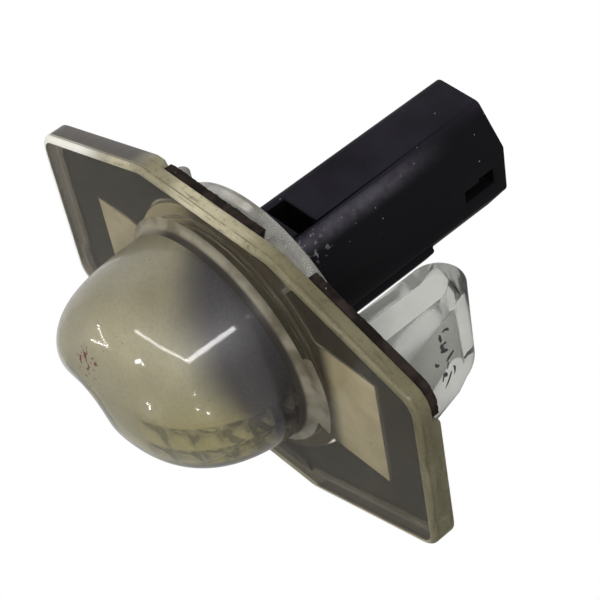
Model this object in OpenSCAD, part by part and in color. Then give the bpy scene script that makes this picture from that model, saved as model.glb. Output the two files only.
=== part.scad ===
// Clip-in number plate lamp for a car tailgate, in millimetres.
// A lens moulding with a hollow dome is welded to a clear rear housing with a
// fixed hook and a spring latch. A black bulb holder turns into the housing and
// carries a wedge bulb, two brass contacts and the connector socket.
// Z = 0 is the seat against the car's panel, +Z points into the car, the dome
// points to -Z, X runs along the flange towards the spring latch, and the Z axis
// is the axis of the round boss.

/* [Flange] */
// Length of the flange along X
flange_l = 64; // [62:0.5:72]
// How far each long side of the flange stands out past the housing
flange_lip = 2.3; // [2:0.1:5]
// Length of each straight short end
flange_end = 23.6; // [20:0.2:26]
// Length of each straight long side
flange_mid = 21.7; // [18:0.1:26]
// Thickness of the flange wall
flange_t = 2.1; // [1.6:0.1:2.8]
// Radius of the flange's corners
corner_r = 3; // [1.5:0.5:4]
// Bevel round the front edge
edge_bevel = 0.6; // [0.3:0.1:1]
// Thickness of the rim behind the flange
rim_t = 1.7; // [1.2:0.1:2.4]
// Height of that rim
rim_h = 1; // [0.6:0.1:1.2]
// Where each rim ends on the long side, measured from the middle
rim_end_x = 9.3; // [6:0.1:10]
// Where each rim ends on the short side, measured from the middle
rim_end_y = 7.6; // [4:0.1:9]

/* [Dome] */
// Half width of the dome along X at its foot
dome_a = 14.6; // [14.2:0.1:15.4]
// Half width of the dome along Y at its foot
dome_b = 13.5; // [13.2:0.1:14.4]
// Depth of the dome below the flange, without the nose
dome_h = 16.3; // [14:0.1:20]
// How far the dome's middle lies towards the hook
dome_off = 0.9; // [0:0.1:1.2]
// Squareness of the dome's side profile, 2 is an ellipse
dome_n = 2.4; // [2:0.1:3.2]
// Wall of the dome
dome_wall = 1.9; // [1.5:0.1:2.1]
// Swell of the nose on the hook side
nose_h = 2.6; // [1:0.1:3.2]
// Depth of the hollow between the nose and the main bulge
hollow_d = 1.9; // [0.5:0.1:2.4]
// Radius of the fillet at the dome's foot
foot_r = 1.2; // [0.6:0.1:1.6]
// Height of the lens pillows inside the dome
pillow_h = 0.6; // [0.3:0.05:0.7]
// Width of each row of pillows along Y
pillow_w = 3.4; // [2.5:0.1:3.8]

/* [Gasket] */
// Thickness of the foam gasket
gasket_t = 1.3; // [1.2:0.1:2.4]
// How far the gasket stays inside the flange's outline
gasket_inset = 0.9; // [0.6:0.05:1]
// Gap between the gasket and the rims
gasket_rim_gap = 0.3; // [0.2:0.05:0.5]
// Gap between the gasket's cut-out and the housing
gasket_gap = 0.35; // [0.2:0.05:0.6]

/* [Rear housing] */
// Outer radius of the round boss
boss_r = 16.1; // [15.6:0.1:16.6]
// Wall of the boss
boss_wall = 1.5; // [1.2:0.1:2]
// Height of the boss above the seat
boss_h = 3.2; // [2.8:0.1:5]
// Thickness of the housing's base plate
base_t = 1.1; // [0.9:0.1:1.15]
// Width of the shelf between the boss's wall and the opening for the bulb holder
shelf_w = 4.8; // [4.7:0.1:5.2]
// Height of the weld rib on the base plate
weld_h = 0.5; // [0.3:0.1:0.8]
// Width of the weld rib
weld_w = 0.9; // [0.6:0.1:1.1]

/* [Spring latch and hook] */
// Where the latch's inner leg stands, measured from the boss axis
latch_x = 15.1; // [14.9:0.1:15.4]
// Width of the latch along Y
latch_w = 16; // [13:0.5:17]
// Thickness of the latch's legs
latch_t = 2.1; // [1.7:0.1:2.3]
// Height of the latch above the seat
latch_h = 15.75; // [14:0.25:19]
// Gap between the latch's two legs at the bend
latch_gap = 2.4; // [2:0.1:3]
// Width of the outer leg along Y
catch_w = 13; // [9:0.5:13.5]
// How far the outer leg's middle lies off the latch's, away from the slanted edge
catch_off = 0.7; // [0:0.1:1]
// How much the outer leg thickens towards its end
catch_swell = 1.9; // [1:0.1:2.4]
// Height of the outer leg's end above the seat
catch_z = 2.6; // [2:0.1:4]
// Where the fixed hook stands, measured from the boss axis
hook_x = 18.9; // [17.6:0.1:19.4]
// Width of the hook along Y
hook_w = 10.4; // [8:0.2:11]
// Height of the hook above the seat
hook_h = 8.4; // [7:0.1:10]
// Thickness of the hook's leg
hook_t = 2.3; // [1.8:0.1:2.6]
// How far the hook's lip reaches out
hook_reach = 2.4; // [1.5:0.1:3]
// Room for the car's panel under the hook's lip
panel_gap = 2; // [1.2:0.1:2.4]

/* [Bulb holder] */
// Width of the holder's body along X
body_w = 14; // [13:0.2:15]
// Width of the holder's body along Y
body_d = 16.9; // [16:0.1:17.6]
// Width of the body's flats that face Y
flat_w = 6.5; // [5:0.1:8]
// Width of the body's flats that face X
flat_d = 6.5; // [5:0.1:8]
// Radius of the body's long corners
body_r = 1; // [0.5:0.1:1.4]
// Height of the body's end above the seat
body_end = 36.1; // [34:0.1:44]
// How far the body's middle lies off the boss axis towards the hook
body_off_x = 1.65; // [1:0.05:1.8]
// How far the body's middle lies off the boss axis along Y
body_off_y = 0.3; // [0:0.05:0.6]
// Gap round the holder's sealing flange, inside the boss
collar_gap = 1.4; // [0.8:0.1:1.8]
// Thickness of the sealing flange
collar_t = 1.5; // [1:0.1:1.6]
// Depth of the holder's neck below the seat
neck_d = 3.4; // [3.2:0.1:4.2]
// Clearance of the neck in the housing's opening
neck_gap = 0.2; // [0.1:0.05:0.3]
// How far the locking lugs stand out of the neck
lug_reach = 1.2; // [0.8:0.1:1.3]
// Wall of the connector socket
socket_wall = 1.4; // [1.1:0.1:1.8]
// Depth of the connector socket
socket_depth = 19; // [16:0.5:19.5]
// How far the guide rail stands out of the body
rail_h = 0.8; // [0.4:0.1:1.2]
// How far the guide rail ends below the body's end
rail_below = 12.1; // [8:0.1:16]
// Width of the window over the contacts
window_w = 5.3; // [4:0.1:5.6]
// Height of the window over the contacts
window_h = 2.6; // [2:0.1:3]
// Height of that window's lower edge above the seat
window_z = 7.5; // [6:0.1:8]
// Width of the stepped window for the plug's lock
lock_w = 2.3; // [1.8:0.1:3.2]
// Length of the stepped window
lock_l = 4.6; // [3.6:0.1:6]
// How far the stepped window ends below the body's end
lock_below = 2.1; // [1.5:0.1:4]
// How much thicker the socket's wall is on the side of the stepped window
lock_pad_t = 0.8; // [0.6:0.1:1]

/* [Seal] */
// Thickness of the sealing ring's section
seal_d = 1.5; // [1.2:0.1:1.8]

/* [Bulb and contacts] */
// Radius of the bulb's glass
bulb_r = 5.1; // [4.6:0.1:5.2]
// Length of the bulb with its wedge base
bulb_l = 26.8; // [25.5:0.1:27.2]
// Gap between the bulb and the top of the dome
bulb_gap = 2.2; // [1.6:0.1:3]
// Height of the leads' tops above the bulb's tip, with the filament on them
lead_rise = 12.7; // [11:0.1:14]
// Width of the wedge base
wedge_w = 9.3; // [8.6:0.1:9.4]
// Thickness of the wedge base
wedge_t = 2.4; // [2:0.1:2.6]
// Length of the wedge base
wedge_l = 7; // [6:0.1:7.4]
// Wall of the bulb's glass
glass_t = 0.6; // [0.4:0.1:0.9]
// Distance between the two contacts
contact_pitch = 6; // [5.6:0.1:6.4]
// Width of each contact
contact_w = 2.3; // [1.8:0.1:2.5]
// Thickness of the contact's sheet brass
contact_t = 0.4; // [0.3:0.05:0.5]
// Thickness of the folded connector pins
pin_t = 0.64; // [0.6:0.02:0.8]
// How far the pins stay inside the connector socket
pin_recess = 5; // [3:0.5:8]

/* [Hidden] */
// Fineness of true circles and of the dome's mesh
$fn = 64;
dome_sides = 60;
dome_rings = 14;
inner_rings = 26;
corner_steps = 5;
arc_steps = 20;
// A cut runs this far past the face that it opens
cut = 0.5;
// Clearance of pieces that are pushed together
slip = 0.04;

plate_rear = -gasket_t;
plate_front = plate_rear - flange_t;
base_rear = plate_rear + base_t;
boss_in = boss_r - boss_wall;
opening_r = boss_in - shelf_w;
collar_r = boss_in - collar_gap;

// The dome's nose and hollow, each as the direction of its middle and its spread
nose_az = 183;
nose_tilt = 42.5;
nose_spread = 26;
hollow_az = 157;
hollow_tilt = 23;
hollow_spread = 10;
// The rows of pillows on the latch side, and the pillows along each row, as angles from the tip
pillow_rows = 3;
pillow_edge = -0.6;
pillow_from = 14;
pillow_step = 11.5;
pillow_count = 6;
foot_steps = 5;

weld_out = 0.9;
weld_r = (dome_a - dome_wall + boss_in) / 2 + weld_out;
base_rim = 0.6;
flange_w = 2 * (boss_r + base_rim + flange_lip);
hook_pad_rim = 0.4;
hook_pad_end = 0.6;
hook_pad_w = hook_w + 2 * hook_pad_rim;
hook_pad_x = hook_x + hook_t + hook_reach + hook_pad_end;
hook_lip = 1.1;
latch_bend_r = latch_t + latch_gap / 2;
latch_bend_x = latch_x + latch_bend_r;
latch_bend_z = latch_h - latch_bend_r;
latch_outer_x = latch_x + 2 * latch_t + latch_gap;
latch_pad_end = 0.4;
latch_pad_x = latch_outer_x + catch_swell + latch_pad_end;
latch_lean = 4.5;
latch_lean_from = 0.45;
latch_shoulder = 0.4;
latch_slope = 1.6;
latch_crown = 0.8;
catch_flank = 1.2;
catch_nose = 0.8;
key_reach = 2.4;
key_r = boss_r + key_reach;
key_from = -68;
key_to = -51;
key_h = 0.8;
key_rib_h = 2;
key_rib_w = 0.9;
key_rib_in = 1.2;
key_notch = 1.5;
// Depth to which one solid runs into the next so that they join
lap = 0.05;
sector_lap = 1;
// Thickness of the two outlines that the front edge's bevel is drawn between
skin = 0.01;

seal_r = (opening_r + neck_gap + lug_reach + collar_r) / 2;
seal_squash = 0.02;
collar_front = base_rear + seal_d + 2 * seal_squash;
collar_rear = collar_front + collar_t;
neck_r = opening_r - neck_gap;
lug_r = neck_r + lug_reach;
lug_play = 0.3;
lug_t = neck_d + plate_rear - lug_play;
lug_angle = 32;
lug_count = 3;
lug_turn = 60;
keyway_gap = 0.25;
keyway_angle = lug_angle + 3;

bulb_tip = plate_front - dome_h + dome_wall + bulb_gap;
bulb_base = bulb_tip + bulb_l;
wedge_top = bulb_base - wedge_l;
bulb_play = 0.35;
bulb_bore = bulb_r + bulb_play;
wedge_play = 0.2;
contact_gap = 0.03;
bridge_play = 0.05;
bridge_z = bulb_base + wedge_play + bridge_play;
neck_taper = 1.6;
pinch_in = 0.5;
pinch_lap = 0.2;
socket_floor = body_end - socket_depth;
pin_tip = body_end - pin_recess;
pin_shift = 0.15;
pin_x = -wedge_t / 2 - contact_t / 2 - pin_shift;
pin_point = 1;
leaf_short = 0.8;
leaf_l = wedge_l - leaf_short;
leaf_room = 0.45;
window_off = 0.5;
lock_step = 0.5;
lock_narrow = 0.8;
lock_floor = 0.5;
rail_inset = 0.9;
lead_r = 0.25;
lead_y = 2.2;
lead_top = bulb_tip + lead_rise;
lead_out = 0.2;
coil_r = 0.45;

// The eight corners of a flange outline that lies inset inside the outer one
function flange_corners(inset) =
  let (
    hl = flange_l / 2, hw = flange_w / 2, he = flange_end / 2, hm = flange_mid / 2,
    run = hl - hm, rise = hw - he, slant = sqrt(run * run + rise * rise),
    nx = rise / slant, ny = run / slant, reach = nx * hl + ny * he - inset,
    x1 = hl - inset, y1 = (reach - nx * x1) / ny,
    y2 = hw - inset, x2 = (reach - ny * y2) / nx
  )
  [[x1, -y1], [x1, y1], [x2, y2], [-x2, y2], [-x1, y1], [-x1, -y1], [-x2, -y2], [x2, -y2]];

// The corners of an elongated octagon with its flats centred on X and Y
function octagon(w, d, fw, fd) = [
  [w / 2, -fd / 2], [w / 2, fd / 2], [fw / 2, d / 2], [-fw / 2, d / 2],
  [-w / 2, fd / 2], [-w / 2, -fd / 2], [-fw / 2, -d / 2], [fw / 2, -d / 2]
];

function unit(v) = v / norm(v);

// One rounded corner: an arc of radius r from the line before it to the line after it
function corner_arc(before, at, after, r) =
  let (
    u = unit(before - at), v = unit(after - at),
    half = acos(u * v) / 2,
    centre = at + unit(u + v) * r / sin(half),
    a0 = atan2(-u[1], -u[0]) - 90,
    sweep = 180 - 2 * half
  )
  [for (i = [0:corner_steps])
    let (a = a0 + sweep * i / corner_steps) centre + r * [cos(a), sin(a)]];

// A closed outline, listed anticlockwise, with every corner rounded
function rounded(pts, r) =
  let (n = len(pts))
  [for (i = [0:n - 1]) each corner_arc(pts[(i + n - 1) % n], pts[i], pts[(i + 1) % n], r)];

module flange_outline(inset = 0) {
  polygon(rounded(flange_corners(inset), corner_r));
}

// A unit direction from the dome's middle, by azimuth and by tilt from its tip
function towards(az, tilt) = [sin(tilt) * cos(az), sin(tilt) * sin(az), -cos(tilt)];

// A soft swelling round one direction, 1 in its middle
function swelling(az, tilt, mid_az, mid_tilt, spread) =
  let (between = acos(max(-1, min(1, towards(az, tilt) * towards(mid_az, mid_tilt)))))
  exp(-pow(between / spread, 2));

// Smooth rise from 0 at the dome's foot to 1 well clear of it
function foot_fade(tilt) =
  let (t = max(0, min(1, (90 - tilt) / 25)))
  t * t * (3 - 2 * t);

// Distance of the dome's surface from its middle, pulled in by inset
function dome_reach(az, tilt, inset) =
  let (
    side = 1 / sqrt(pow(cos(az) / (dome_a - inset), 2) + pow(sin(az) / (dome_b - inset), 2)),
    shell = pow(pow(sin(tilt) / side, dome_n) + pow(cos(tilt) / (dome_h - inset), dome_n), -1 / dome_n),
    nose = nose_h * swelling(az, tilt, nose_az, nose_tilt, nose_spread),
    dip = hollow_d * swelling(az, tilt, hollow_az, hollow_tilt, hollow_spread)
  )
  shell + foot_fade(tilt) * (nose - dip);

// Height of a row of round crests at t, one crest for each whole step
function crests(t) = 1 - pow(2 * (t - floor(t)) - 1, 2);

// The pillows on the dome's inside, in rows along the dome's latch side
function pillow(p) =
  let (
    row = (p[1] - pillow_edge) / pillow_w,
    col = (atan2(p[0], -p[2]) - pillow_from) / pillow_step
  )
  (p[0] < 0 || row < 0 || row > pillow_rows || col < 0 || col > pillow_count) ? 0 :
  pillow_h * crests(row) * crests(col);

// One ring of the dome's surface, as points round its middle
function dome_ring(tilt, inset) = [
  for (i = [0:dome_sides - 1])
    let (az = 360 * i / dome_sides)
    dome_reach(az, tilt, inset) * towards(az, tilt)
];

// A ring flared outwards by out and set at height z, for the foot's fillet
function flared(ring, out, z) = [
  for (p = ring) let (d = unit([p[0], p[1]])) [p[0] + d[0] * out, p[1] + d[1] * out, z]
];

// Joins a stack of rings, widest first, and a tip into one closed solid
module ring_stack(rings, tip) {
  sides = len(rings[0]);
  last = len(rings) - 1;
  points = concat([for (r = rings) each r], [tip]);
  bands = [for (k = [0:last - 1], i = [0:sides - 1])
    let (j = (i + 1) % sides, a = k * sides, b = a + sides) each
    [[a + i, a + j, b + i], [a + j, b + j, b + i]]];
  cap = [for (i = [0:sides - 1]) [last * sides + i, last * sides + (i + 1) % sides, len(points) - 1]];
  lid = [[for (i = [sides - 1:-1:0]) i]];
  polyhedron(points, concat(bands, cap, lid), convexity = 6);
}

// The dome's outside as a solid, with a fillet at its foot, run up into the flange
module dome_outside() {
  foot = dome_ring(90, 0);
  fillet = [for (k = [0:foot_steps])
    let (a = 90 * k / foot_steps) flared(foot, foot_r * (1 - sin(a)), -foot_r * (1 - cos(a)))];
  low_tilt = atan(dome_b / (1.5 * foot_r));
  shell = [for (k = [0:dome_rings - 1]) dome_ring(low_tilt * (dome_rings - k) / dome_rings, 0)];
  translate([-dome_off, 0, plate_front])
    ring_stack(
      concat([flared(foot, foot_r, flange_t / 2)], fillet, shell),
      [0, 0, -dome_reach(0, 0, 0)]
    );
}

// The dome's hollow as a solid, with the pillows' crests left out of it
module dome_inside() {
  foot = dome_ring(90, dome_wall);
  shell = [for (k = [0:inner_rings - 1])
    [for (p = dome_ring(90 * (inner_rings - k) / inner_rings, dome_wall)) p - unit(p) * pillow(p)]];
  translate([-dome_off, 0, plate_front])
    ring_stack(
      concat([flared(foot, 0, flange_t + cut)], shell),
      [0, 0, -dome_reach(0, 0, dome_wall)]
    );
}

// The strip that one rim covers, round one end of the flange
module rim_strip(grow = 0) {
  intersection() {
    difference() {
      flange_outline(-grow);
      flange_outline(rim_t + grow);
    }
    translate([-flange_l, -flange_w])
      square([flange_l - rim_end_x + grow, flange_w + rim_end_y + grow]);
  }
}

module rim() {
  translate([0, 0, plate_rear - cut])
    linear_extrude(rim_h + cut) rim_strip();
}

module weld_ring(extra, height) {
  rotate_extrude()
    translate([weld_r - weld_w / 2 - extra, 0])
      square([weld_w + 2 * extra, height + extra]);
}

// Lens: one yellowed clear moulding, flange, dome and rims in one piece
module lens() {
  color([0.72, 0.71, 0.55, 0.6])
    difference() {
      union() {
        translate([0, 0, plate_front + edge_bevel])
          linear_extrude(flange_t - edge_bevel) flange_outline();
        hull() {
          translate([0, 0, plate_front]) linear_extrude(skin) flange_outline(edge_bevel);
          translate([0, 0, plate_front + edge_bevel]) linear_extrude(skin) flange_outline();
        }
        rim();
        rotate([0, 0, 180]) rim();
        dome_outside();
      }
      dome_inside();
      translate([0, 0, plate_rear - weld_h]) weld_ring(slip, weld_h + cut);
    }
}

// The base plate's outline: round the boss, with pads under the hook and the latch
module base_outline(grow = 0) {
  circle(boss_r + base_rim + grow);
  translate([-hook_pad_x - grow, -hook_pad_w / 2 - grow])
    square([hook_pad_x, hook_pad_w + 2 * grow]);
  translate([0, -latch_w / 2 - grow])
    square([latch_pad_x + grow, latch_w + 2 * grow]);
}

// A sector between two radii, from one angle to another
module sector(inner, outer, from, to) {
  steps = 6;
  arc = [for (i = [0:steps]) from + (to - from) * i / steps];
  polygon(concat(
    [for (a = arc) outer * [cos(a), sin(a)]],
    [for (i = [steps:-1:0]) inner * [cos(arc[i]), sin(arc[i])]]
  ));
}

// The key beside the boss sets which way round the lamp goes in, with a rib at its end
module key() {
  rib_from = key_from + key_rib_in;
  rib_to = rib_from + key_rib_w / boss_r * 180 / PI;
  translate([0, 0, plate_rear])
    linear_extrude(key_h - plate_rear) sector(boss_in + boss_wall / 2, key_r, key_from, key_to);
  translate([0, 0, base_rear])
    linear_extrude(key_rib_h - base_rear)
      sector(boss_in + boss_wall / 2, boss_r + key_rib_w, rib_from, rib_to);
}

// Points along an arc round a centre, from one angle to another
function arc_points(centre, r, from, to) = [
  for (i = [0:arc_steps]) let (a = from + (to - from) * i / arc_steps) centre + r * [cos(a), sin(a)]
];

// Profile of the latch in the XZ plane: inner leg, bend and swelling outer leg
module latch_profile() {
  root = plate_rear + base_t / 2;
  bend = [latch_bend_x, latch_bend_z];
  catch_x = latch_outer_x + catch_swell;
  polygon(concat(
    [[latch_x, root]],
    arc_points(bend, latch_bend_r, 180, 0),
    [
      [catch_x, catch_z + catch_flank], [catch_x - catch_nose, catch_z],
      [latch_outer_x - latch_t, catch_z]
    ],
    arc_points(bend, latch_gap / 2, 0, 180),
    [[latch_x + latch_t, root]]
  ));
}

// Outline of the inner leg seen along X, with its slanted far edge
module inner_leg_face() {
  half_w = latch_w / 2;
  polygon([
    [-half_w, plate_rear], [half_w, plate_rear], [half_w, latch_h * latch_lean_from],
    [half_w - latch_lean, latch_h + cut], [-half_w, latch_h + cut]
  ]);
}

// Outline of the bend and the outer leg seen along X, the leg being narrower
module outer_leg_face() {
  half_w = latch_w / 2;
  near_edge = -catch_w / 2 - catch_off;
  far_edge = catch_w / 2 - catch_off;
  shoulder = latch_bend_z;
  polygon([
    [-half_w, latch_h + cut], [-half_w, shoulder + latch_shoulder],
    [near_edge, shoulder - latch_shoulder], [near_edge, catch_z - cut],
    [far_edge, catch_z - cut], [far_edge, shoulder - latch_slope],
    [half_w - latch_lean, latch_h - latch_crown], [half_w - latch_lean, latch_h + cut]
  ]);
}

// One leg's outline as a block, from one distance along X to another
module leg_block(from_x, to_x) {
  translate([from_x, 0, 0])
    rotate([90, 0, 90])
      linear_extrude(to_x - from_x) children();
}

module spring_latch() {
  intersection() {
    rotate([90, 0, 0])
      translate([0, 0, -latch_w / 2])
        linear_extrude(latch_w) latch_profile();
    union() {
      leg_block(latch_x - cut, latch_bend_x) inner_leg_face();
      leg_block(latch_bend_x - lap, latch_pad_x + cut) outer_leg_face();
    }
  }
}

// Profile of the fixed hook in the XZ plane: leg, round tip, slanted back and lip
module hook_profile() {
  root = plate_rear + base_t / 2;
  tip_r = hook_t / 2;
  back_x = -hook_x - hook_t;
  polygon(concat(
    [[-hook_x, root]],
    arc_points([-hook_x - tip_r, hook_h - tip_r], tip_r, 0, 180),
    [
      [back_x - hook_reach, panel_gap + hook_lip], [back_x - hook_reach, panel_gap],
      [back_x, panel_gap], [back_x, root]
    ]
  ));
}

module fixed_hook() {
  rotate([90, 0, 0])
    translate([0, 0, -hook_w / 2])
      linear_extrude(hook_w) hook_profile();
}

// Rear housing: clear moulding with boss, holder opening, key, hook and latch
module rear_housing() {
  color([0.86, 0.87, 0.82, 0.5]) {
    difference() {
      union() {
        translate([0, 0, plate_rear]) linear_extrude(base_t) base_outline();
        translate([0, 0, plate_rear + base_t / 2])
          cylinder(r = boss_r, h = boss_h - plate_rear - base_t / 2);
        key();
        spring_latch();
        fixed_hook();
        translate([0, 0, plate_rear - weld_h]) weld_ring(0, weld_h + base_t / 2);
      }
      translate([0, 0, base_rear]) cylinder(r = boss_in, h = boss_h - base_rear + cut);
      translate([0, 0, plate_rear - weld_h - cut])
        cylinder(r = opening_r, h = base_t + weld_h + 2 * cut);
      for (i = [0:lug_count - 1])
        rotate([0, 0, lug_turn + 360 * i / lug_count])
          translate([0, 0, plate_rear - cut])
            linear_extrude(base_t + 2 * cut)
              sector(opening_r - sector_lap, lug_r + keyway_gap, -keyway_angle / 2, keyway_angle / 2);
    }
  }
}

// Gasket: flat black foam, cut out round the housing and notched for the key
module gasket() {
  color([0.07, 0.06, 0.05])
    translate([0, 0, plate_rear])
      linear_extrude(gasket_t)
        difference() {
          flange_outline(gasket_inset);
          rim_strip(gasket_rim_gap);
          rotate([0, 0, 180]) rim_strip(gasket_rim_gap);
          base_outline(gasket_gap);
          sector(boss_in, flange_w, key_from - key_notch, key_to + key_notch);
        }
}

module body_outline(inset = 0) {
  translate([-body_off_x, -body_off_y])
    polygon(rounded(
      octagon(body_w - 2 * inset, body_d - 2 * inset, flat_w - inset * 0.6, flat_d - inset * 0.9),
      max(0.3, body_r - inset * 0.4)
    ));
}

// The slot that takes one contact, from the bulb's side into the connector socket
module contact_slot(side) {
  y_mid = side * contact_pitch / 2;
  half_w = contact_w / 2 + slip;
  leaf_x = wedge_t / 2 + contact_t + leaf_room;
  translate([-leaf_x, y_mid - half_w, wedge_top - cut])
    cube([2 * leaf_x, 2 * half_w, bridge_z + contact_t + slip - wedge_top + cut]);
  translate([pin_x - pin_t / 2 - slip, y_mid - half_w, bridge_z])
    cube([pin_t + 2 * slip, 2 * half_w, socket_floor - bridge_z + cut]);
}

// Bulb holder: black moulding, bulb socket below and connector socket behind
module bulb_holder() {
  body_z = collar_front + collar_t / 2;
  window_in = contact_pitch / 2 + contact_w / 2;
  lock_z = body_end - lock_below - lock_l;
  lock_mid = lock_z + lock_l * lock_step;
  pad_x = body_w / 2 - body_off_x - socket_wall - lock_pad_t;
  color([0.05, 0.05, 0.055])
    difference() {
      union() {
        translate([0, 0, -neck_d]) cylinder(r = neck_r, h = collar_front + neck_d + cut);
        translate([0, 0, collar_front]) cylinder(r = collar_r, h = collar_t);
        translate([0, 0, body_z]) linear_extrude(body_end - body_z) body_outline();
        // Locking lugs, turned past the housing's keyways
        for (i = [0:lug_count - 1])
          rotate([0, 0, 360 * i / lug_count])
            translate([0, 0, -neck_d])
              linear_extrude(lug_t) sector(neck_r - sector_lap, lug_r, -lug_angle / 2, lug_angle / 2);
        // Guide rail along the slanted flat between +X and +Y
        translate([-body_off_x, -body_off_y, collar_rear - cut])
          linear_extrude(body_end - rail_below - collar_rear + cut) guide_rail();
      }
      // Bulb bore, wedge slot and its bottom
      translate([0, 0, -neck_d - cut])
        cylinder(r = bulb_bore, h = wedge_top + slip + neck_d + cut);
      translate([-wedge_t / 2 - wedge_play, -wedge_w / 2 - wedge_play, wedge_top - cut])
        cube([wedge_t + 2 * wedge_play, wedge_w + 2 * wedge_play, wedge_l + wedge_play + cut]);
      contact_slot(-1);
      contact_slot(1);
      // Connector socket, with a thicker wall on the lock's side
      translate([0, 0, socket_floor])
        linear_extrude(socket_depth + cut)
          difference() {
            body_outline(socket_wall);
            translate([pad_x, -body_d]) square([body_w, 2 * body_d]);
          }
      // Window over the contact
      translate([window_off - body_off_x - window_w / 2, -body_d, window_z])
        cube([window_w, body_d - window_in, window_h]);
      // Stepped, blind window for the mating plug's lock
      translate([pad_x + lock_floor, lock_w * (0.5 - lock_narrow) - body_off_y, lock_z])
        cube([body_w, lock_w * lock_narrow, lock_l]);
      translate([pad_x + lock_floor, -body_off_y - lock_w / 2, lock_mid])
        cube([body_w, lock_w, lock_l * (1 - lock_step)]);
    }
}

// Section of the guide rail, a low ridge with slanted flanks
module guide_rail() {
  a = [body_w / 2, flat_d / 2];
  b = [flat_w / 2, body_d / 2];
  mid = (a + b) / 2;
  along = unit(b - a);
  out = [along[1], -along[0]];
  half = norm(b - a) / 2 - rail_inset;
  polygon([
    mid - along * half - out, mid + along * half - out,
    mid + along * (half - rail_h) + out * rail_h, mid - along * (half - rail_h) + out * rail_h
  ]);
}

// Sealing ring squeezed between the housing and the holder's flange
module holder_seal() {
  color([0.12, 0.12, 0.13])
    translate([0, 0, base_rear + seal_squash + seal_d / 2])
      rotate_extrude()
        translate([seal_r, 0]) circle(seal_d / 2, $fn = 24);
}

// Bulb: blown glass tube with a round tip and a flat pinched base
module bulb_glass() {
  inner = bulb_r - glass_t;
  tube_end = wedge_top - neck_taper;
  color([0.9, 0.93, 0.93, 0.3])
    difference() {
      union() {
        rotate_extrude() bulb_section(bulb_r, bulb_tip, tube_end);
        hull() {
          translate([0, 0, tube_end - pinch_lap])
            cylinder(r = bulb_r - pinch_in, h = pinch_lap, $fn = 32);
          translate([-wedge_t / 2, -wedge_w / 2, wedge_top])
            cube([wedge_t, wedge_w, pinch_lap / 2]);
        }
        translate([-wedge_t / 2, -wedge_w / 2, wedge_top])
          cube([wedge_t, wedge_w, wedge_l]);
      }
      rotate_extrude() bulb_section(inner, bulb_tip + glass_t, tube_end - glass_t);
      for (side = [-1, 1])
        translate([0, side * lead_y, 0]) lead_bore();
    }
}

// Half section of a tube with a round tip, for turning round Z
module bulb_section(r, tip, end) {
  intersection() {
    union() {
      translate([0, tip + r]) circle(r);
      translate([-r, tip + r]) square([2 * r, end - tip - r]);
    }
    translate([0, tip - cut]) square([r, end - tip + cut]);
  }
}

// The bore that a lead wire takes through the pinched glass
module lead_bore() {
  depth = wedge_l + 2 * neck_taper;
  translate([0, 0, bulb_base - depth])
    cylinder(r = lead_r + slip / 2, h = depth + cut, $fn = 24);
}

// One lead wire: up to the filament, and out of the base's end
module bulb_lead(side) {
  color([0.75, 0.73, 0.7])
    translate([0, side * lead_y, lead_top])
      cylinder(r = lead_r, h = bulb_base + lead_out - lead_top, $fn = 24);
}

module bulb_lead_left() {
  bulb_lead(-1);
}

module bulb_lead_right() {
  bulb_lead(1);
}

// Filament: a fine coil between the two leads, as its outer form
module bulb_filament() {
  color([0.45, 0.45, 0.47])
    translate([0, 0, lead_top - coil_r])
      rotate([90, 0, 0])
        cylinder(r = coil_r, h = 2 * lead_y + 2 * lead_r, center = true, $fn = 24);
}

// Contact: a brass clip over the wedge base, folded on into the connector pin
module contact(side) {
  y_mid = side * contact_pitch / 2;
  leaf_x = wedge_t / 2 + contact_gap;
  clip_w = 2 * leaf_x + 2 * contact_t;
  pin_end = pin_tip - pin_point;
  color([0.72, 0.6, 0.32])
    translate([0, y_mid - contact_w / 2, 0]) {
      for (m = [0, 1])
        mirror([m, 0, 0])
          translate([leaf_x, 0, bridge_z - leaf_l]) cube([contact_t, contact_w, leaf_l + contact_t]);
      translate([-clip_w / 2, 0, bridge_z]) cube([clip_w, contact_w, contact_t]);
      translate([pin_x - pin_t / 2, 0, bridge_z]) cube([pin_t, contact_w, pin_end - bridge_z]);
      // The pin's tapered point
      hull() {
        translate([pin_x - pin_t / 2, 0, pin_end - lap]) cube([pin_t, contact_w, lap]);
        translate([pin_x - pin_t / 6, contact_w / 4, pin_tip - lap])
          cube([pin_t / 3, contact_w / 2, lap]);
      }
    }
}

module contact_left() {
  contact(-1);
}

module contact_right() {
  contact(1);
}

lens();
rear_housing();
gasket();
bulb_holder();
holder_seal();
bulb_glass();
bulb_filament();
bulb_lead_left();
bulb_lead_right();
contact_left();
contact_right();
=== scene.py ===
import math
import random

import bmesh
import bpy
from mathutils import Matrix, Vector, noise


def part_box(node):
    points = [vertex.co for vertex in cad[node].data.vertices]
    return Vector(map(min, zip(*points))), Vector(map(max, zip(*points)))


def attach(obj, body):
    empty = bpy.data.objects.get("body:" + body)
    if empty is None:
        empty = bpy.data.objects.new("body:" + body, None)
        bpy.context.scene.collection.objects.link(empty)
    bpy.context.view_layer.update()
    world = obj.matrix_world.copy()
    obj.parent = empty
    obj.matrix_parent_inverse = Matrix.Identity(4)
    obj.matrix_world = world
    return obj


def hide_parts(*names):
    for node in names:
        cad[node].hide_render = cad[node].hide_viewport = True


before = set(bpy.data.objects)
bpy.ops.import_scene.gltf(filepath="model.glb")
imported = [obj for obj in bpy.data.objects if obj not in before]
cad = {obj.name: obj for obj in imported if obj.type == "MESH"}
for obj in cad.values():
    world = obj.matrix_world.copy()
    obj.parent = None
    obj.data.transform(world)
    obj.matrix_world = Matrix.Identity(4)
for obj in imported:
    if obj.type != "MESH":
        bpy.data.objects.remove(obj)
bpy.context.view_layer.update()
scene = bpy.context.scene
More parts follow.
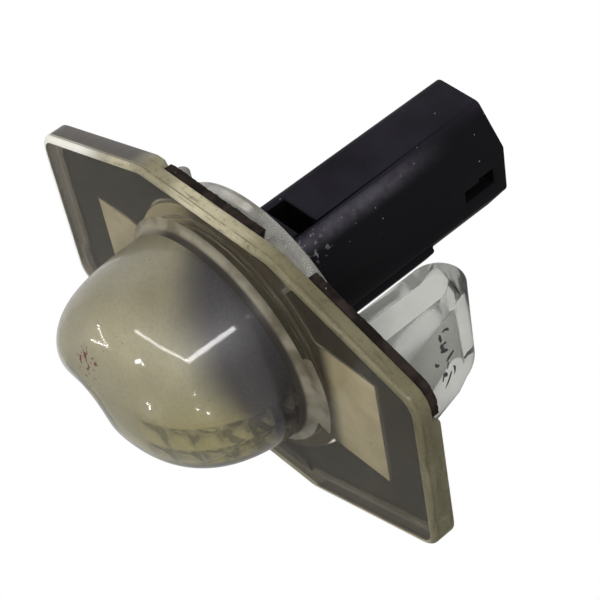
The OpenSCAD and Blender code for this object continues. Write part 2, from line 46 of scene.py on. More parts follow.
scene.view_settings.view_transform = "Standard"

# Camera
# The lamp hangs as it does in the car, dome down. The camera looks up at it from
# the latch side, from below the flange.
MM = 0.001
camera_place = Vector((132.87, -161.02, -81.40)) * MM
camera_right = Vector((0.6615, 0.1387, 0.7371)).normalized()
camera_up = Vector((-0.4746, -0.6836, 0.5545))
camera_back = camera_right.cross(camera_up).normalized()
camera_up = camera_back.cross(camera_right)


def set_up(thing, place, right, up, back):
    """Links a thing into the scene at a place, turned to three axes."""
    turned = Matrix((right, up, back)).transposed().to_4x4()
    thing.matrix_world = Matrix.Translation(place) @ turned
    scene.collection.objects.link(thing)


camera_data = bpy.data.cameras.new("camera")
camera_data.sensor_width = 36
camera_data.lens = 118.32
camera_data.clip_start = 0.01
camera = bpy.data.objects.new("camera", camera_data)
set_up(camera, camera_place, camera_right, camera_up, camera_back)
scene.camera = camera


# Studio
# Soft light all round and a white wall, darker to one side in reflections and round its
# middle through clear plastic. Strips and small lamps below the dome, and a pale floor.
def add_node(tree, kind, **settings):
    """A shader node of one kind, with its settings."""
    node = tree.nodes.new("ShaderNode" + kind)
    for name, value in settings.items():
        setattr(node, name, value)
    return node


def feed(tree, socket, source):
    """Links a socket to the output that feeds it, or sets its value."""
    if isinstance(source, bpy.types.NodeSocket):
        tree.links.new(source, socket)
    else:
        socket.default_value = source


def calculate(tree, operation, *values):
    """A Math node's result."""
    node = add_node(tree, "Math", operation=operation)
    for socket, value in zip(node.inputs, values):
        feed(tree, socket, value)
    return node.outputs[0]


def spread_over(tree, value, low, high, to_low=0.0, to_high=1.0):
    """A value's range stretched smoothly over another one."""
    node = add_node(tree, "MapRange", interpolation_type="SMOOTHSTEP")
    for label, given in (
        ("Value", value), ("From Min", low), ("From Max", high), ("To Min", to_low), ("To Max", to_high)
    ):
        feed(tree, node.inputs[label], given)
    return node.outputs["Result"]


studio = bpy.data.worlds.new("studio")
scene.world = studio
studio.use_nodes = True
tree = studio.node_tree
tree.nodes.clear()
ray = add_node(tree, "LightPath").outputs
soft_light = add_node(tree, "Background")
feed(tree, soft_light.inputs["Color"], (0.97, 0.985, 1.0, 1))
feed(tree, soft_light.inputs["Strength"], 0.55)
white_wall = add_node(tree, "Background")
feed(tree, white_wall.inputs["Color"], (1, 1, 1, 1))
direction = add_node(tree, "TexCoord").outputs["Generated"]


def wall_strength(towards_wall, near, far, at_near, at_far):
    """The wall's brightness by direction: at_near inside a cone, at_far outside it."""
    facing = add_node(tree, "VectorMath", operation="DOT_PRODUCT")
    feed(tree, facing.inputs[0], direction)
    feed(tree, facing.inputs[1], towards_wall)
    return spread_over(tree, facing.outputs["Value"], far, near, at_far, at_near)


def for_rays(kind, otherwise, level):
    """One brightness for one kind of ray and another for the rest."""
    choose = add_node(tree, "Mix")
    feed(tree, choose.inputs["Factor"], ray[kind])
    feed(tree, choose.inputs["A"], otherwise)
    feed(tree, choose.inputs["B"], level)
    return choose.outputs["Result"]


mirrored = wall_strength((0.08, 0.92, 0.38), near=0.95, far=0.30, at_near=0.30, at_far=1.0)
through = wall_strength((-0.58, 0.72, 0.39), near=0.95, far=0.65, at_near=1.0, at_far=0.34)
seen = for_rays("Is Camera Ray", for_rays("Is Transmission Ray", mirrored, through), 1.0)
feed(tree, white_wall.inputs["Strength"], seen)
either = add_node(tree, "MixShader")
feed(tree, either.inputs["Fac"], ray["Is Diffuse Ray"])
feed(tree, either.inputs[1], white_wall.outputs[0])
feed(tree, either.inputs[2], soft_light.outputs[0])
feed(tree, add_node(tree, "OutputWorld").inputs["Surface"], either.outputs[0])


def strip_light(name, start, end, width, watts):
    """A slim rectangular lamp from start to end that faces the lamp's dome."""
    middle = (start + end) / 2
    facing = middle.normalized()
    along = (end - start) - facing * (end - start).dot(facing)
    along.normalize()
    data = bpy.data.lights.new(name, "AREA")
    data.shape = "RECTANGLE"
    data.size = (end - start).length
    data.size_y = width
    data.energy = watts
    strip = bpy.data.objects.new(name, data)
    strip.visible_camera = False
    set_up(strip, middle, along, facing.cross(along), facing)


# Two long strips that meet below the brow, seen as an angle in the dome's gloss
strip_far = 0.5
brow = Vector((5, -10, -12)) * MM
strip_corner = brow + Vector((0.470, -0.665, -0.585)) * strip_far
low_end = brow + Vector((-0.463, -0.618, -0.635)) * strip_far
high_end = brow + Vector((0.580, -0.795, 0.135)) * strip_far
low_w = 0.022
low_watts = 1.00
tall_w = 1.7 * low_w
tall_watts = 1.8 * low_watts
strip_light("low_strip", low_end, strip_corner, low_w, low_watts)
strip_light("tall_strip", strip_corner, high_end, tall_w, tall_watts)

# Two short strips that meet below the nose
nose = Vector((-3, -8.5, -17)) * MM
nose_corner = nose + Vector((-0.630, -0.125, -0.766)) * strip_far
nose_end = nose + Vector((-0.825, -0.184, -0.534)) * strip_far
cheek_end = nose + Vector((-0.774, 0.000, -0.631)) * strip_far
short_w = 0.005
short_watts = 0.16
strip_light("nose_strip", nose_end, nose_corner, short_w, short_watts)
strip_light("cheek_strip", cheek_end, nose_corner, short_w, short_watts)

# Small lamps round the dome's underside, each a glint, by direction and half length
underside = Vector((7, -5, -16)) * MM
small_lamps = [
    (-0.218, -0.377, -0.900, 0.020),
    (-0.262, -0.325, -0.909, 0.012),
    (-0.160, -0.365, -0.917, 0.008),
    (-0.084, 0.296, -0.951, 0.030),
    (0.664, -0.169, -0.729, 0.010),
    (0.661, 0.133, -0.739, 0.008),
    (0.756, 0.210, -0.620, 0.014),
]
small_w = 0.014
small_watts_a_metre = 5
for i, (x, y, z, half_long) in enumerate(small_lamps):
    place = underside + Vector((x, y, z)) * strip_far
    small_long = Vector((0, half_long, 0))
    small_watts = small_watts_a_metre * 2 * half_long
    strip_light(f"small_lamp_{i}", place - small_long, place + small_long, small_w, small_watts)


def new_piece(name, points, faces):
    """An object made from its points and faces, linked into the scene."""
    mesh = bpy.data.meshes.new(name)
    mesh.from_pydata([tuple(p) for p in points], [], faces)
    mesh.update()
    piece = bpy.data.objects.new(name, mesh)
    scene.collection.objects.link(piece)
    return piece


def new_material(name):
    """A material with nodes, its Principled shader and its node tree."""
    made = bpy.data.materials.new(name)
    made.use_nodes = True
    return made, made.node_tree.nodes["Principled BSDF"], made.node_tree


def set_plain(shader, **values):
    """Sets the shader's own values, with an underscore where their names have a space."""
    for label, value in values.items():
        shader.inputs[label.replace("_", " ")].default_value = value


floor_z = -0.8
floor_half = 6.0
floor_glow = 0.32
floor_corners = [(-1, -1), (1, -1), (1, 1), (-1, 1)]
floor_points = [(x * floor_half, y * floor_half, floor_z) for x, y in floor_corners]
floor = new_piece("floor", floor_points, [(0, 1, 2, 3)])
floor_paint, shader, tree = new_material("floor_paint")
set_plain(shader, Base_Color=(0.93, 0.93, 0.93, 1), Roughness=0.9, Specular_IOR_Level=0.1)
set_plain(shader, Emission_Color=(1, 1, 1, 1))
to_camera = add_node(tree, "LightPath").outputs["Is Camera Ray"]
feed(tree, shader.inputs["Emission Strength"], calculate(tree, "MULTIPLY", to_camera, floor_glow))
floor.data.materials.append(floor_paint)


# Lens
# One moulding of clear polycarbonate, yellowed with age: an eight-sided flange with
# two low rims behind its edge, and a hollow dome whose outside has hazed.
flange_l = 64 * MM
flange_w = 38 * MM
flange_end = 23.6 * MM
flange_mid = 21.7 * MM
flange_t = 2.1 * MM
foam_t = 1.3 * MM
seat_gap = 0.04 * MM
flange_rear = -foam_t - seat_gap
flange_front = -foam_t - flange_t
corner_r = 3 * MM
corner_steps = 12
edge_bevel = 0.6 * MM
rim_t = 1.7 * MM
rim_h = 1.0 * MM
rim_end_x = 9.3 * MM
rim_end_y = 7.6 * MM
dome_a = 14.6 * MM
dome_b = 13.5 * MM
dome_h = 16.3 * MM
dome_off = 0.9 * MM
dome_n = 2.4
dome_wall = 1.9 * MM
nose_h = 2.6 * MM
nose_az = 183
nose_tilt = 42.5
nose_spread = 26
hollow_d = 1.9 * MM
hollow_az = 157
hollow_tilt = 23
hollow_spread = 10
foot_fade = 25
foot_fillet = 1.2 * MM
lens_sides = 480
azimuths = [2 * math.pi * i / lens_sides for i in range(lens_sides)]
outward = [Vector((math.cos(az), math.sin(az), 0)) for az in azimuths]


def towards(az, tilt):
    """Unit direction from the dome's middle, by azimuth and by tilt from its tip."""
    return Vector((math.sin(tilt) * math.cos(az), math.sin(tilt) * math.sin(az), -math.cos(tilt)))


def swelling(direction, az, tilt, spread):
    """1 in one direction, falling off smoothly round it. Angles in degrees."""
    middle = towards(math.radians(az), math.radians(tilt))
    between = math.degrees(direction.angle(middle, 0.0))
    return math.exp(-((between / spread) ** 2))


def smooth(t):
    """A soft step from 0 to 1, as t goes from 0 to 1."""
    t = min(1.0, max(0.0, t))
    return t * t * (3 - 2 * t)


def dome_point(az, tilt, inset):
    """A point of the dome's surface, pulled in by inset."""
    direction = towards(az, tilt)
    side = 1 / math.hypot(math.cos(az) / (dome_a - inset), math.sin(az) / (dome_b - inset))
    shell = (
        (math.sin(tilt) / side) ** dome_n + (max(0.0, math.cos(tilt)) / (dome_h - inset)) ** dome_n
    ) ** (-1 / dome_n)
    above_foot = smooth((90 - math.degrees(tilt)) / foot_fade)
    bulge = nose_h * swelling(direction, nose_az, nose_tilt, nose_spread)
    dip = hollow_d * swelling(direction, hollow_az, hollow_tilt, hollow_spread)
    return direction * (shell + above_foot * (bulge - dip)) + Vector((-dome_off, 0, flange_front))


def outline_corners(inset):
    """The flange's eight corners, anticlockwise, lying inset inside its edge."""
    hl, hw, he, hm = flange_l / 2, flange_w / 2, flange_end / 2, flange_mid / 2
    slant = math.hypot(hl - hm, hw - he)
    nx, ny = (hw - he) / slant, (hl - hm) / slant
    reach = nx * hl + ny * he - inset
    x1 = hl - inset
    y1 = (reach - nx * x1) / ny
    y2 = hw - inset
    x2 = (reach - ny * y2) / nx
    pairs = [(x1, -y1), (x1, y1), (x2, y2), (-x2, y2), (-x1, y1), (-x1, -y1), (-x2, -y2), (x2, -y2)]
    return [Vector(p) for p in pairs]


def rounded_outline(inset, radius):
    """The flange's outline with arcs at its corners, as a closed list of points."""
    corners = outline_corners(inset)
    points = []
    for i, at in enumerate(corners):
        u = (corners[i - 1] - at).normalized()
        v = (corners[(i + 1) % len(corners)] - at).normalized()
        half = math.acos(u.dot(v)) / 2
        centre = at + (u + v).normalized() * radius / math.sin(half)
        first = math.atan2(-u.y, -u.x) - math.pi / 2
        for k in range(corner_steps + 1):
            a = first + (math.pi - 2 * half) * k / corner_steps
            points.append(centre + radius * Vector((math.cos(a), math.sin(a))))
    return points


def outline_hit(outline, centre, d):
    """The point where a line from the centre, in direction d, leaves a closed outline."""
    side = Vector((-d.y, d.x))
    for a, b in zip(outline, outline[1:] + outline[:1]):
        sa, sb = (a - centre).dot(side), (b - centre).dot(side)
        if sa <= 0 < sb:
            p = a + (b - a) * (-sa / (sb - sa))
            if (p - centre).dot(d) > 0:
                return p
    return centre


def ring_on_outline(inset, radius):
    """One point of the outline for each of the lens's azimuths, seen from the dome's middle."""
    outline = rounded_outline(inset, radius)
    middle = Vector((-dome_off, 0))
    return [outline_hit(outline, middle, d.to_2d()) for d in outward]


def rim_there(p):
    """1 where a rim stands on the flange's edge, 0 where there is none, with rounded ends."""
    soft = 0.5 * MM
    here = 0.0
    for s in (1, -1):
        past_x = smooth((-rim_end_x - s * p.x) / soft + 0.5)
        past_y = smooth((rim_end_y - s * p.y) / soft + 0.5)
        here = max(here, past_x * past_y)
    return here


def flat(points, z):
    """Points laid into a plane at one height."""
    return [Vector((p.x, p.y, z)) for p in points]


rings = []
ring_kind = []


def add_ring(points, kind):
    """Adds the next ring of the lens's skin, with the kind of face that leads to it."""
    rings.append(points)
    ring_kind.append(kind)


# Outside of the dome, from its tip to just above the foot
dome_steps = 52
last_tilt = math.radians(84)
for k in range(1, dome_steps + 1):
    tilt = last_tilt * k / dome_steps
    add_ring([dome_point(az, tilt, 0) for az in azimuths], "dome")

# Fillet at the foot, running out into the web and the flange's front
foot = [dome_point(az, math.pi / 2, 0) for az in azimuths]
fillet_steps = 8
for k in range(1, fillet_steps + 1):
    a = math.pi / 2 * k / fillet_steps
    out = foot_fillet * (1 - math.cos(a))
    down = Vector((0, 0, -foot_fillet * (1 - math.sin(a))))
    add_ring([f + d * out + down for f, d in zip(foot, outward)], "foot")
guard = 0.12 * MM
web_mid = 0.7 * MM
web_end = 2.0 * MM
for past_fillet, kind in ((guard, "foot"), (web_mid, "web"), (web_end, "web")):
    web = [f + d * (foot_fillet + past_fillet) for f, d in zip(foot, outward)]
    add_ring(flat(web, flange_front), kind)
front_margin = 0.25 * MM
inner_edge = ring_on_outline(edge_bevel + front_margin, corner_r - edge_bevel)
halfway = [p.to_2d().lerp(q, 0.5) for p, q in zip(rings[-1], inner_edge)]
add_ring(flat(halfway, flange_front), "flange")
add_ring(flat(inner_edge, flange_front), "flange")
add_ring(flat(ring_on_outline(edge_bevel + guard, corner_r - edge_bevel), flange_front), "flange")

# Rounded bevel on the front edge
bevel_steps = 4
for k in range(bevel_steps + 1):
    a = math.pi / 2 * k / bevel_steps
    ring = ring_on_outline(edge_bevel * (1 - math.sin(a)), corner_r)
    add_ring(flat(ring, flange_front + edge_bevel * (1 - math.cos(a))), "edge")
side_end = 0.5 * MM
edge_ring = ring_on_outline(0, corner_r)
add_ring(flat(edge_ring, flange_rear - side_end), "edge")

# Edge and rims behind the flange
rim_round = 0.25 * MM
rim_steps = 3
rim_share = [rim_there(p) for p in edge_ring]
for k in range(rim_steps + 1):
    a = math.pi / 2 * k / rim_steps
    ring = ring_on_outline(rim_round * (1 - math.cos(a)), corner_r)
    low = flange_rear - rim_round * (1 - math.sin(a))
    add_ring([Vector((p.x, p.y, low + rim_h * share)) for p, share in zip(ring, rim_share)], "edge")
for k in range(rim_steps + 1):
    a = math.pi / 2 * k / rim_steps
    ring = ring_on_outline(rim_t - rim_round * (1 - math.sin(a)), corner_r)
    high = rim_h - rim_round * (1 - math.cos(a))
    add_ring([Vector((p.x, p.y, flange_rear + high * share)) for p, share in zip(ring, rim_share)], "edge")
rear_margin = 0.3 * MM
for inset in (rim_t, rim_t + rear_margin):
    add_ring(flat(ring_on_outline(inset, corner_r), flange_rear), "rear")


def ring_round_boss(radius):
    """One point of a circle round the boss axis for each of the lens's azimuths."""
    ring = []
    for az, d in zip(azimuths, outward):
        across = dome_off * math.sin(az)
        along = dome_off * math.cos(az) + math.sqrt(radius ** 2 - across ** 2)
        ring.append(d * along - Vector((dome_off, 0, 0)))
    return ring


# Groove that takes the housing's weld rib, and the dome's mouth
weld_r = 14.55 * MM
groove_half = 0.5 * MM
groove_d = 0.5 * MM
groove_out = weld_r + groove_half
groove_in = weld_r - groove_half
for radius, depth in ((groove_out, 0), (groove_out, groove_d), (groove_in, groove_d), (groove_in, 0)):
    add_ring(flat(ring_round_boss(radius), flange_rear - depth), "rear")
mouth = [dome_point(az, math.pi / 2, dome_wall) for az in azimuths]
mouth_edge = 0.2 * MM
add_ring(flat([p + d * mouth_edge for p, d in zip(mouth, outward)], flange_rear), "rear")
add_ring(flat(mouth, flange_rear - mouth_edge), "inside")
add_ring(flat(mouth, flange_front), "inside")

# Inside of the dome with its pillows. Their columns are angles in degrees.
pillow_w = 3.4 * MM
pillow_y = -0.6 * MM
pillow_rows = 3
pillow_from = 14
pillow_step = 11.5
pillow_count = 6
pillow_h = 0.6 * MM


def pillow(p):
    """Height of the small lens pillows inside the dome, on the latch side."""
    along_x = p.x + dome_off
    row = (p.y - pillow_y) / pillow_w
    col = (math.degrees(math.atan2(along_x, flange_front - p.z)) - pillow_from) / pillow_step
    if along_x < 0 or not 0 <= row < pillow_rows or not 0 <= col < pillow_count:
        return 0.0
    across = 1 - (2 * (row - math.floor(row)) - 1) ** 2
    along = 1 - (2 * (col - math.floor(col)) - 1) ** 2
    return pillow_h * across * along


inner_steps = 80
for k in range(1, inner_steps):
    tilt = math.pi / 2 * (inner_steps - k) / inner_steps
    ring = []
    for az in azimuths:
        p = dome_point(az, tilt, dome_wall)
        ring.append(p - towards(az, tilt) * pillow(p))
    add_ring(ring, "inside")

points = [p for ring in rings for p in ring]
outer_tip = len(points)
inner_tip = outer_tip + 1
points += [dome_point(0, 0, 0), dome_point(0, 0, dome_wall)]
around = [(i, (i + 1) % lens_sides) for i in range(lens_sides)]
faces = [(outer_tip, j, i) for i, j in around]
face_kind = ["dome"] * lens_sides
for r, kind in enumerate(ring_kind[1:]):
    a, b = r * lens_sides, (r + 1) * lens_sides
    faces += [(a + i, a + j, b + j, b + i) for i, j in around]
    face_kind += [kind] * lens_sides
last = (len(rings) - 1) * lens_sides
faces += [(last + i, last + j, inner_tip) for i, j in around]
face_kind += ["inside"] * lens_sides
lens = new_piece("lens_moulding", points, faces)


def shade_smooth(piece, sharp_from):
    """Smooth shading, except at edges that turn by more than an angle in degrees."""
    mesh = piece.data
    mesh.polygons.foreach_set("use_smooth", [True] * len(mesh.polygons))
    mesh.set_sharp_from_angle(angle=math.radians(sharp_from))


shade_smooth(lens, 32)


def own_place(tree):
    """The piece's own coordinates."""
    return add_node(tree, "TexCoord").outputs["Object"]


def own_xyz(tree):
    """The piece's own coordinates, taken apart."""
    apart = add_node(tree, "SeparateXYZ")
    feed(tree, apart.inputs[0], own_place(tree))
    return apart.outputs


def measure(tree, operation, other):
    """The own coordinates' dot product with a direction, or their distance from a point."""
    node = add_node(tree, "VectorMath", operation=operation)
    feed(tree, node.inputs[0], own_place(tree))
    feed(tree, node.inputs[1], other)
    return node.outputs["Value"]


def overlap(tree, shared, *masks):
    """Where all masks meet."""
    for mask in masks:
        shared = calculate(tree, "MULTIPLY", shared, mask)
    return shared


def blend_colours(tree, share, first, second):
    """One colour laid over another by a mask."""
    node = add_node(tree, "Mix", data_type="RGBA")
    feed(tree, node.inputs[0], share)
    feed(tree, node.inputs[6], first)
    feed(tree, node.inputs[7], second)
    return node.outputs[2]


def colour_by(tree, shader, colour, *layers):
    """The shader's colour: a first one and others laid over it in turn, each by its mask."""
    for mask, laid in layers:
        colour = blend_colours(tree, mask, colour, laid)
    feed(tree, shader.inputs["Base Color"], colour)


def roughen_by(tree, shader, mask, low, high):
    """The shader's roughness between two values, by a mask."""
    feed(tree, shader.inputs["Roughness"], spread_over(tree, mask, 0.0, 1.0, low, high))


def raise_by(tree, shader, height, depth):
    """Feeds the shader's normal from a height, with the depth in metres that a height of 1 has."""
    bump = add_node(tree, "Bump")
    feed(tree, bump.inputs["Strength"], 1.0)
    feed(tree, bump.inputs["Distance"], depth)
    feed(tree, bump.inputs["Height"], height)
    feed(tree, shader.inputs["Normal"], bump.outputs["Normal"])


def noise_at(tree, size, detail, place=None):
    """A noise texture's value, laid over the piece's own coordinates or over a changed place."""
    cloud = add_node(tree, "TexNoise")
    feed(tree, cloud.inputs["Scale"], size)
    feed(tree, cloud.inputs["Detail"], detail)
    feed(tree, cloud.inputs["Vector"], place or own_place(tree))
    return cloud.outputs["Fac"]


def new_group(name, takes, gives):
    """An empty shader node group with its inputs, their usual values, and its outputs."""
    group = bpy.data.node_groups.new(name, "ShaderNodeTree")
    for label, value in takes.items():
        kind = "NodeSocketColor" if isinstance(value, tuple) else "NodeSocketFloat"
        socket = group.interface.new_socket(label, in_out="INPUT", socket_type=kind)
        socket.default_value = value
    for label, kind in gives.items():
        group.interface.new_socket(label, in_out="OUTPUT", socket_type=kind)
    return group, group.nodes.new("NodeGroupInput").outputs, group.nodes.new("NodeGroupOutput").inputs


def use_group(tree, group, **values):
    """A group placed in a material with its own values."""
    node = add_node(tree, "Group", node_tree=group)
    for label, value in values.items():
        feed(tree, node.inputs[label], value)
    return node.outputs


# Two shades that drift into each other, as in aged plastic and foam
cloudy_tint, given, result = new_group(
    "cloudy_tint",
    {"Size": 300.0, "Pale": (1.0, 1.0, 1.0, 1.0), "Deep": (0.5, 0.5, 0.5, 1.0)},
    {"Color": "NodeSocketColor", "Mask": "NodeSocketFloat"},
)
drift = spread_over(cloudy_tint, noise_at(cloudy_tint, given["Size"], 4), 0.36, 0.64)
feed(cloudy_tint, result["Color"], blend_colours(cloudy_tint, drift, given["Pale"], given["Deep"]))
feed(cloudy_tint, result["Mask"], drift)

# Small round specks of dirt or dust, on a share of the cells of a random grid
specks, given, result = new_group(
    "specks", {"Size": 900.0, "Share": 0.1, "Reach": 0.15}, {"Mask": "NodeSocketFloat"}
)
cells = add_node(specks, "TexVoronoi")
feed(specks, cells.inputs["Vector"], own_place(specks))
feed(specks, cells.inputs["Scale"], given["Size"])
draw = add_node(specks, "SeparateColor")
feed(specks, draw.inputs[0], cells.outputs["Color"])
chosen = calculate(specks, "LESS_THAN", draw.outputs["Red"], given["Share"])
core = calculate(specks, "MULTIPLY", given["Reach"], 0.5)
near = spread_over(specks, cells.outputs["Distance"], given["Reach"], core)
feed(specks, result["Mask"], overlap(specks, chosen, near))

# Fine straight scratches in two directions
scratches, given, result = new_group(
    "scratches", {"Size": 900.0, "Thin": 0.03}, {"Mask": "NodeSocketFloat"}
)
stretched = (1.0, 1.0, 0.03)
lines = []
for turn in ((0.4, 0.9, 0.3), (1.3, 0.2, 1.1)):
    laid = add_node(scratches, "Mapping")
    feed(scratches, laid.inputs["Rotation"], turn)
    feed(scratches, laid.inputs["Scale"], stretched)
    feed(scratches, laid.inputs["Vector"], own_place(scratches))
    wave = noise_at(scratches, given["Size"], 1, laid.outputs["Vector"])
    off = calculate(scratches, "ABSOLUTE", calculate(scratches, "SUBTRACT", wave, 0.5))
    lines.append(spread_over(scratches, off, given["Thin"], 0.0))
feed(scratches, result["Mask"], calculate(scratches, "MAXIMUM", *lines))

dirt_brown = (0.10, 0.07, 0.04, 1)

# The flange's front and rear: clear, yellowed and a little dirty
flange_plastic, shader, tree = new_material("yellowed_clear_plastic")
tint = use_group(tree, cloudy_tint, Size=140.0, Pale=(0.70, 0.65, 0.53, 1), Deep=(0.58, 0.53, 0.41, 1))
dirt = use_group(tree, specks, Size=1100.0, Share=0.05, Reach=0.16)["Mask"]
colour_by(tree, shader, tint["Color"], (dirt, dirt_brown))
roughen_by(tree, shader, tint["Mask"], 0.08, 0.14)
set_plain(shader, IOR=1.11, Transmission_Weight=0.98)
raise_by(tree, shader, noise_at(tree, 900.0, 2), 0.006 * MM)

# The dome's inside: still clear, less yellow
inner_plastic, shader, tree = new_material("clear_inner_plastic")
tint = use_group(tree, cloudy_tint, Size=140.0, Pale=(0.92, 0.89, 0.76, 1), Deep=(0.84, 0.81, 0.66, 1))
colour_by(tree, shader, tint["Color"])
roughen_by(tree, shader, tint["Mask"], 0.03, 0.06)
set_plain(shader, IOR=1.47, Transmission_Weight=0.97)

# The flange's side faces: rubbed and hazed, with dirt caught along them, darker at the
# The hook's end and the side away from the camera change from front to rear; that side's
# rear part is painted shade, near black.
edge_plastic, shader, tree = new_material("hazed_edge_plastic")
tint = use_group(tree, cloudy_tint, Size=130.0, Pale=(0.56, 0.51, 0.35, 1), Deep=(0.30, 0.27, 0.17, 1))
edge_at = own_xyz(tree)
latch_end = spread_over(tree, edge_at["X"], 4 * MM, 14 * MM, 0.0, 0.82)
hook_end = spread_over(tree, edge_at["X"], -9 * MM, -14 * MM)
hook_end_far = spread_over(tree, edge_at["X"], -16 * MM, -24 * MM)
long_side = overlap(
    tree,
    spread_over(tree, edge_at["X"], -12 * MM, -2 * MM),
    spread_over(tree, edge_at["X"], 31.6 * MM, 30.5 * MM),
    spread_over(tree, edge_at["Y"], 2 * MM, 6 * MM),
)
rear_half = spread_over(tree, edge_at["Z"], -2.9 * MM, -2.5 * MM)
front_half = spread_over(tree, edge_at["Z"], -2.5 * MM, -2.9 * MM)
rear_part = spread_over(tree, edge_at["Z"], -2.5 * MM, -2.25 * MM)
along_edge = add_node(tree, "Mapping")
feed(tree, along_edge.inputs["Scale"], (1.0, 1.0, 9.0))
feed(tree, along_edge.inputs["Vector"], own_place(tree))
streaks = spread_over(tree, noise_at(tree, 260.0, 4, along_edge.outputs["Vector"]), 0.55, 0.72, 0.0, 0.55)
mottle = spread_over(tree, noise_at(tree, 2200.0, 3), 0.54, 0.68, 0.0, 0.35)
dirt = use_group(tree, specks, Size=1300.0, Share=0.10, Reach=0.22)["Mask"]
bevel_z = flange_front + edge_bevel
from_bevel = calculate(tree, "ABSOLUTE", calculate(tree, "SUBTRACT", edge_at["Z"], bevel_z))
bevel_line = overlap(
    tree,
    spread_over(tree, from_bevel, 0.10 * MM, 0.03 * MM, 0.0, 0.8),
    spread_over(tree, noise_at(tree, 420.0, 3), 0.34, 0.48),
)
latch_olive = (0.115, 0.102, 0.052, 1)
streak_brown = (0.05, 0.042, 0.025, 1)
mottle_brown = (0.045, 0.038, 0.022, 1)
worn_brown = (0.075, 0.065, 0.052, 1)
clear_cream = (0.96, 0.94, 0.84, 1)
side_olive = (0.44, 0.40, 0.26, 1)
# Painted shade: near black on the rear part of the side away from the camera
rear_shade_black = (0.030, 0.026, 0.018, 1)
line_brown = (0.10, 0.08, 0.05, 1)
colour_by(
    tree, shader, tint["Color"],
    (latch_end, latch_olive),
    (streaks, streak_brown),
    (mottle, mottle_brown),
    (overlap(tree, hook_end, rear_half), worn_brown),
    (overlap(tree, hook_end_far, front_half), clear_cream),
    (long_side, side_olive),
    (overlap(tree, long_side, rear_part), rear_shade_black),
    (dirt, dirt_brown),
    (bevel_line, line_brown),
)
set_plain(shader, Roughness=0.30, IOR=1.25, Transmission_Weight=0.48)
raise_by(tree, shader, noise_at(tree, 700.0, 3), 0.04 * MM)

# The fillet and web round the dome's foot: a pale haze, dark up the fillet on the latch's side
foot_plastic, shader, tree = new_material("hazed_foot_plastic")
tint = use_group(tree, cloudy_tint, Size=320.0, Pale=(0.36, 0.33, 0.25, 1), Deep=(0.17, 0.15, 0.10, 1))
dirt = use_group(tree, specks, Size=1500.0, Share=0.08, Reach=0.16)["Mask"]
foot_at = own_xyz(tree)
shaded = overlap(
    tree,
    spread_over(tree, foot_at["Z"], flange_front - 0.45 * MM, flange_front - 0.8 * MM),
    spread_over(tree, foot_at["X"], -10 * MM, -5 * MM),
)
shade_brown = (0.055, 0.048, 0.042, 1)
colour_by(tree, shader, tint["Color"], (shaded, shade_brown), (dirt, dirt_brown))
set_plain(shader, Roughness=0.35, IOR=1.2, Transmission_Weight=0.60)

# The dome's outside: a milky haze under a glossy skin, yellower low in the camera's view,
# with painted shade in dark violet up the latch's side where the dark holder shows through,
# and small red flecks on the nose. It stays polished where the pillows show.
dome_plastic, shader, tree = new_material("hazed_dome_plastic")
tint = use_group(tree, cloudy_tint, Size=90.0, Pale=(0.48, 0.44, 0.305, 1), Deep=(0.37, 0.335, 0.21, 1))
yellowed = spread_over(tree, measure(tree, "DOT_PRODUCT", (0.475, 0.684, -0.555)), 4 * MM, 15 * MM)
# Painted shade: dark violet up the latch's side, where the dark holder shows through
to_latch = measure(tree, "DOT_PRODUCT", (1.0, -0.65, 0.9))
drifted = calculate(tree, "MULTIPLY_ADD", noise_at(tree, 110.0, 3), 4 * MM, to_latch)
painted_holder_shade = spread_over(tree, drifted, 1 * MM, 8 * MM)
grain = spread_over(tree, noise_at(tree, 2600.0, 2), 0.40, 0.66, 0.0, 0.18)
dirt = use_group(tree, specks, Size=900.0, Share=0.05, Reach=0.12)["Mask"]
fleck_middle = Vector((-4.2, -5.2, -19.1)) * MM
flecks = overlap(
    tree,
    spread_over(tree, measure(tree, "DISTANCE", fleck_middle), 2.6 * MM, 1.4 * MM),
    spread_over(tree, noise_at(tree, 1400.0, 3), 0.57, 0.61),
)
low_view_olive = (0.30, 0.268, 0.125, 1)
shade_violet = (0.055, 0.048, 0.054, 1)
grain_brown = (0.13, 0.115, 0.09, 1)
dome_dirt = (0.12, 0.10, 0.08, 1)
fleck_red = (0.12, 0.006, 0.004, 1)
colour_by(
    tree, shader, tint["Color"],
    (yellowed, low_view_olive),
    (painted_holder_shade, shade_violet),
    (grain, grain_brown),
    (dirt, dome_dirt),
    (flecks, fleck_red),
)
polished = spread_over(tree, own_xyz(tree)["Y"], -5.0 * MM, -0.5 * MM, 0.48, 0.07)
feed(tree, shader.inputs["Roughness"], polished)
set_plain(shader, IOR=1.42, Transmission_Weight=0.78)
set_plain(shader, Coat_Weight=0.6, Coat_IOR=1.35, Coat_Roughness=0.07)
raise_by(tree, shader, noise_at(tree, 1200.0, 2), 0.002 * MM)

for plastic in (flange_plastic, dome_plastic, edge_plastic, inner_plastic, foot_plastic):
    lens.data.materials.append(plastic)
plastic_of = {"dome": 1, "edge": 2, "inside": 3, "foot": 4}
# The web is hazed only in a fan on the latch's side
fan_half = math.radians(20)
fan_turn = math.radians(5)
fan_y = 0.5 * MM
for poly, kind in zip(lens.data.polygons, face_kind):
    from_fan = abs(math.atan2(poly.center.y - fan_y, poly.center.x) + fan_turn)
    if kind == "web" and from_fan < fan_half:
        kind = "foot"
    poly.material_index = plastic_of.get(kind, 0)
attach(lens, "root")
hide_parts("lens")


